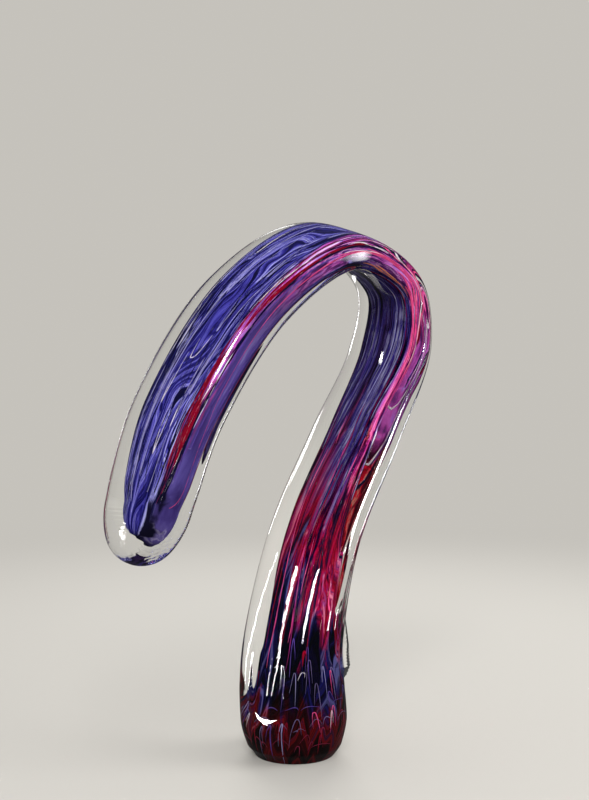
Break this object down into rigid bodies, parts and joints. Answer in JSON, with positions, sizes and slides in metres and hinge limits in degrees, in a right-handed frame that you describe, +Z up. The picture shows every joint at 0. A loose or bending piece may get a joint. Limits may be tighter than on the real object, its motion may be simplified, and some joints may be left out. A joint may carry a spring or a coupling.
{
  "type": "glass sculpture",
  "caption": "Abstract hooked ribbon of solid clear glass over a ruby and violet core, rising from a bulb foot and bending over to a rounded free tip.",
  "frame": {"origin": "middle of the ground underside of the foot", "axes": "+Z up; the hook lies in the XZ plane with its arm reaching towards -X; the ribbon's broad way runs along Y"},
  "size_m": [0.3076, 0.081, 0.3967],
  "materials": {
    "clear_glass": "clear polished glass",
    "foot_glass": "dark ruby glass under a clear skin",
    "ruby_glass": "ruby glass, navy towards the foot",
    "violet_glass": "indigo and violet glass with pale wisps",
    "cane_navy": "navy glass cane",
    "cane_indigo": "indigo glass cane",
    "cane_lavender": "lavender glass cane",
    "cane_violet": "violet glass cane",
    "cane_magenta": "magenta glass cane",
    "cane_pink": "pink glass cane",
    "cane_crimson": "crimson glass cane"
  },
  "bodies": {
    "root": {"clear_casing": "clear_glass", "foot_gather": "foot_glass", "ruby_core": "ruby_glass", "violet_core": "violet_glass", "lower_cane_far_edge": "cane_navy", "lower_cane_outer_far": "cane_crimson", "lower_cane_outer_mid_far": "cane_crimson", "lower_cane_outer_mid_near": "cane_violet", "lower_cane_outer_near": "cane_magenta", "lower_cane_near_edge": "cane_crimson", "lower_cane_inner_near": "cane_navy", "lower_cane_inner_mid_near": "cane_magenta", "lower_cane_inner_mid_far": "cane_pink", "lower_cane_inner_far": "cane_navy", "upper_cane_far_edge": "cane_indigo", "upper_cane_outer_far": "cane_indigo", "upper_cane_outer_mid_far": "cane_lavender", "upper_cane_outer_mid_near": "cane_indigo", "upper_cane_outer_near": "cane_magenta", "upper_cane_near_edge": "cane_pink", "upper_cane_inner_near": "cane_crimson", "upper_cane_inner_mid_near": "cane_lavender", "upper_cane_inner_mid_far": "cane_violet", "upper_cane_inner_far": "cane_navy", "feather_thread_lower": "cane_pink", "feather_thread_middle": "cane_lavender", "feather_thread_upper": "cane_violet", "clear_lug": "clear_glass"}
  },
  "joints": []
}
